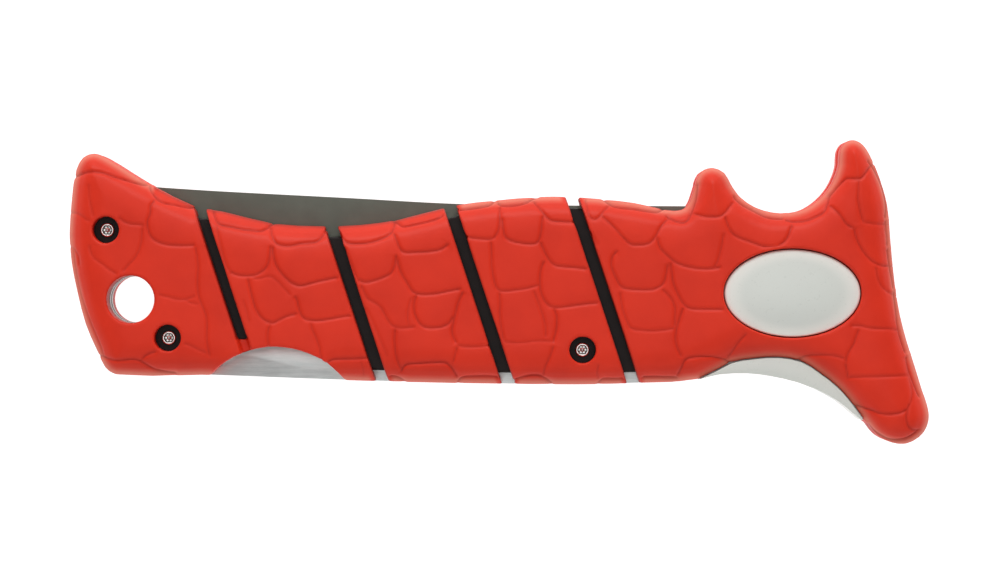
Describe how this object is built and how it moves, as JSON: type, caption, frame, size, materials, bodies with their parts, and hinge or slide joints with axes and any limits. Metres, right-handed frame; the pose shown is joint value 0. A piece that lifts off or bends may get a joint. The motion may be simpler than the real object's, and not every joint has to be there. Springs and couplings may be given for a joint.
{
  "type": "lock-back folding knife",
  "caption": "Large lock-back folding knife, closed, with slotted rubber-covered handle scales, an oval badge over the pivot, a horned guard, a thumb rest and a lanyard hole.",
  "frame": {"origin": "on the blade's pivot axis, at the level of the flat side that the closed knife lies on (the rear badge's face)", "axes": "+Z through the handle's thickness, from the rear side up to the front side; +X along the handle, from the butt with the lanyard hole to the guard; +Y towards the side that the blade folds out of"},
  "size_m": [0.2232, 0.079, 0.024],
  "materials": {
    "grip_rubber": "soft satin red, moulded in pillowy scales",
    "black_core": "satin black moulding",
    "white_plastic": "smooth, slightly grey white",
    "blade_coating": "dark satin coating on steel",
    "brushed_steel": "fine brushed",
    "screw_steel": "bright turned",
    "spring_steel": "tempered, smooth",
    "washer_bronze": "smooth"
  },
  "bodies": {
    "frame": {"front_grip_butt": "grip_rubber", "front_grip_middle_1": "grip_rubber", "front_grip_middle_2": "grip_rubber", "front_grip_head": "grip_rubber", "front_core": "black_core", "front_liner": "brushed_steel", "front_badge": "white_plastic", "front_pivot_washer": "washer_bronze", "front_upper_screw": "screw_steel", "front_lower_screw": "screw_steel", "front_lock_screw": "screw_steel", "front_pivot_screw": "screw_steel", "rear_grip_butt": "grip_rubber", "rear_grip_middle_1": "grip_rubber", "rear_grip_middle_2": "grip_rubber", "rear_grip_head": "grip_rubber", "rear_core": "black_core", "rear_liner": "brushed_steel", "rear_badge": "white_plastic", "rear_pivot_washer": "washer_bronze", "rear_upper_screw": "screw_steel", "rear_lower_screw": "screw_steel", "rear_lock_screw": "screw_steel", "rear_pivot_screw": "screw_steel", "lock_spring": "spring_steel", "butt_spacer": "black_core", "thumb_rest": "white_plastic", "pivot_pin": "screw_steel", "upper_standoff": "screw_steel", "lower_standoff": "screw_steel", "lock_bar_pin": "screw_steel"},
    "blade": {"blade": "blade_coating"},
    "lock_bar": {"lock_bar": "brushed_steel"}
  },
  "joints": [
    {"name": "blade_swing", "type": "hinge", "parent": "frame", "child": "blade", "pos_m": [0, 0, 0.012], "axis": [0, 0, -1], "range_deg": [0, 180]},
    {"name": "lock_bar_rock", "type": "hinge", "parent": "frame", "child": "lock_bar", "pos_m": [-0.0543, -0.0147, 0.012], "axis": [0, 0, -1], "range_deg": [-1.8, 2], "stiffness_Nm_per_rad": 20, "deforming": ["lock_spring"]}
  ]
}
